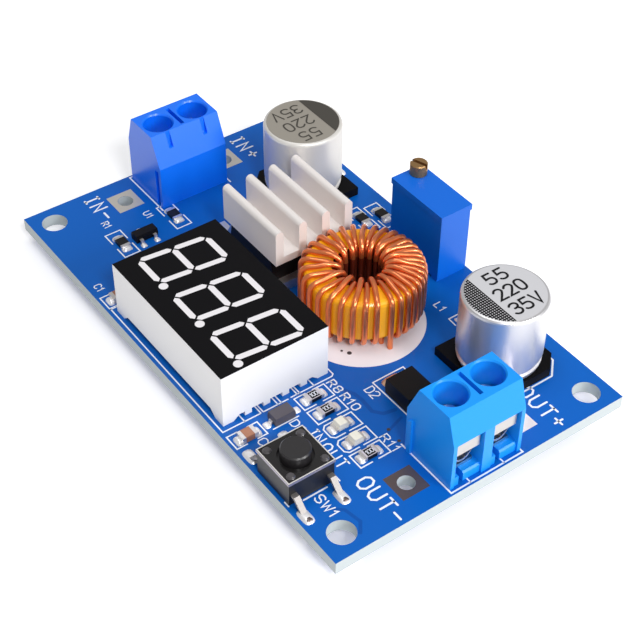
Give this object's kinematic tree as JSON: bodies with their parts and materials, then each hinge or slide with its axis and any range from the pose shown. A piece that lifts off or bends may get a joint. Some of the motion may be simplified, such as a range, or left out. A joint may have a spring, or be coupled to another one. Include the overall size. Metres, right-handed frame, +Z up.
{
  "type": "step-down voltage regulator module",
  "caption": "Blue circuit board module with screw terminals, wound ring inductor, finned heatsink, capacitors, multi-turn trimmer, push switch and a three digit meter display",
  "frame": {"origin": "middle of the board in plan, at the height of the lowest pin tips", "axes": "+X runs along the board from the input terminal to the output terminal, +Y across the board from the display edge to the capacitor edge, +Z up out of the component side"},
  "size_m": [0.066, 0.0396, 0.0152],
  "materials": {
    "board_mask": "gloss",
    "solder": "satin",
    "output_terminal_plastic": "satin",
    "input_terminal_plastic": "satin",
    "terminal_contact_metal": "polished",
    "terminal_leaf_metal": "polished",
    "terminal_screw_metal": "satin",
    "can_aluminium": "satin",
    "capacitor_base_plastic": "matte",
    "tinned_leads": "satin",
    "heatsink_aluminium": "matte",
    "adhesive_pad": "matte",
    "epoxy_black": "matte",
    "core_yellow": "satin",
    "copper_enamel": "polished",
    "trimmer_plastic": "satin",
    "trimmer_brass": "worn",
    "display_shell_plastic": "satin",
    "display_bar_resin": "satin",
    "display_back_resin": "matte",
    "switch_base_plastic": "satin",
    "switch_cover_metal": "satin",
    "switch_button_plastic": "gloss",
    "switch_spring_metal": "polished",
    "lamp_resin": "satin",
    "chip_black": "matte",
    "chip_ceramic": "matte"
  },
  "bodies": {
    "module": {"circuit_board": "board_mask", "solder_joints": "solder", "output_terminal_housing": "output_terminal_plastic", "output_terminal_contacts": "terminal_contact_metal", "input_terminal_housing": "input_terminal_plastic", "input_terminal_contacts": "terminal_contact_metal", "output_capacitor_can": "can_aluminium", "output_capacitor_base": "capacitor_base_plastic", "output_capacitor_leads": "tinned_leads", "input_capacitor_can": "can_aluminium", "input_capacitor_base": "capacitor_base_plastic", "input_capacitor_leads": "tinned_leads", "heatsink": "heatsink_aluminium", "thermal_adhesive": "adhesive_pad", "regulator_body": "epoxy_black", "regulator_leadframe": "tinned_leads", "inductor_core": "core_yellow", "inductor_winding": "copper_enamel", "trimmer_housing": "trimmer_plastic", "trimmer_pins": "tinned_leads", "display_shell": "display_shell_plastic", "display_segments": "display_bar_resin", "display_substrate": "display_back_resin", "display_pins": "tinned_leads", "switch_base": "switch_base_plastic", "switch_cover": "switch_cover_metal", "switch_dome": "switch_spring_metal", "switch_legs": "switch_spring_metal", "rectifier_diode_body": "epoxy_black", "rectifier_diode_leads": "tinned_leads", "signal_diode_body": "epoxy_black", "signal_diode_leads": "tinned_leads", "input_indicator_led": "lamp_resin", "output_indicator_led": "lamp_resin", "chip_resistors": "chip_black", "chip_capacitors": "chip_ceramic", "chip_terminations": "tinned_leads", "meter_regulator_body": "epoxy_black", "meter_regulator_leads": "tinned_leads", "meter_controller_body": "epoxy_black", "meter_controller_leads": "tinned_leads"},
    "output_screw_1": {"output_terminal_screw_1": "terminal_screw_metal"},
    "output_screw_2": {"output_terminal_screw_2": "terminal_screw_metal"},
    "input_screw_1": {"input_terminal_screw_1": "terminal_screw_metal"},
    "input_screw_2": {"input_terminal_screw_2": "terminal_screw_metal"},
    "output_leaf_1": {"output_terminal_leaf_1": "terminal_leaf_metal"},
    "output_leaf_2": {"output_terminal_leaf_2": "terminal_leaf_metal"},
    "input_leaf_1": {"input_terminal_leaf_1": "terminal_leaf_metal"},
    "input_leaf_2": {"input_terminal_leaf_2": "terminal_leaf_metal"},
    "button": {"switch_button": "switch_button_plastic"},
    "adjuster": {"trimmer_screw": "trimmer_brass"}
  },
  "joints": [
    {"name": "button_press", "type": "slide", "parent": "module", "child": "button", "axis": [0, 0, -1], "range_m": [0, 0.00025], "stiffness_N_per_m": 100},
    {"name": "adjuster_turn", "type": "hinge", "parent": "module", "child": "adjuster", "pos_m": [-0.0019, 0.01805, 0.0141], "axis": [0, 0, 1], "continuous": true},
    {"name": "output_clamp_1", "type": "slide", "parent": "module", "child": "output_leaf_1", "axis": [0, 0, 1], "range_m": [0, 0.00135]},
    {"name": "output_screw_turn_1", "type": "hinge", "parent": "output_leaf_1", "child": "output_screw_1", "pos_m": [0.0285, -0.0021, 0.0086], "axis": [0, 0, 1], "range_deg": [0, 1081]},
    {"name": "output_clamp_2", "type": "slide", "parent": "module", "child": "output_leaf_2", "axis": [0, 0, 1], "range_m": [0, 0.00135]},
    {"name": "output_screw_turn_2", "type": "hinge", "parent": "output_leaf_2", "child": "output_screw_2", "pos_m": [0.0285, 0.0029, 0.0086], "axis": [0, 0, 1], "range_deg": [0, 1081]},
    {"name": "input_clamp_1", "type": "slide", "parent": "module", "child": "input_leaf_1", "axis": [0, 0, 1], "range_m": [0, 0.00135]},
    {"name": "input_screw_turn_1", "type": "hinge", "parent": "input_leaf_1", "child": "input_screw_1", "pos_m": [-0.0286, 0.003, 0.0086], "axis": [0, 0, 1], "range_deg": [0, 1081]},
    {"name": "input_clamp_2", "type": "slide", "parent": "module", "child": "input_leaf_2", "axis": [0, 0, 1], "range_m": [0, 0.00135]},
    {"name": "input_screw_turn_2", "type": "hinge", "parent": "input_leaf_2", "child": "input_screw_2", "pos_m": [-0.0286, -0.002, 0.0086], "axis": [0, 0, 1], "range_deg": [0, 1081]}
  ],
  "couplings": [
    {"joint": "output_screw_turn_1", "follows": "output_clamp_1", "rad_per_m": 13963},
    {"joint": "output_screw_turn_2", "follows": "output_clamp_2", "rad_per_m": 13963},
    {"joint": "input_screw_turn_1", "follows": "input_clamp_1", "rad_per_m": 13963},
    {"joint": "input_screw_turn_2", "follows": "input_clamp_2", "rad_per_m": 13963}
  ]
}
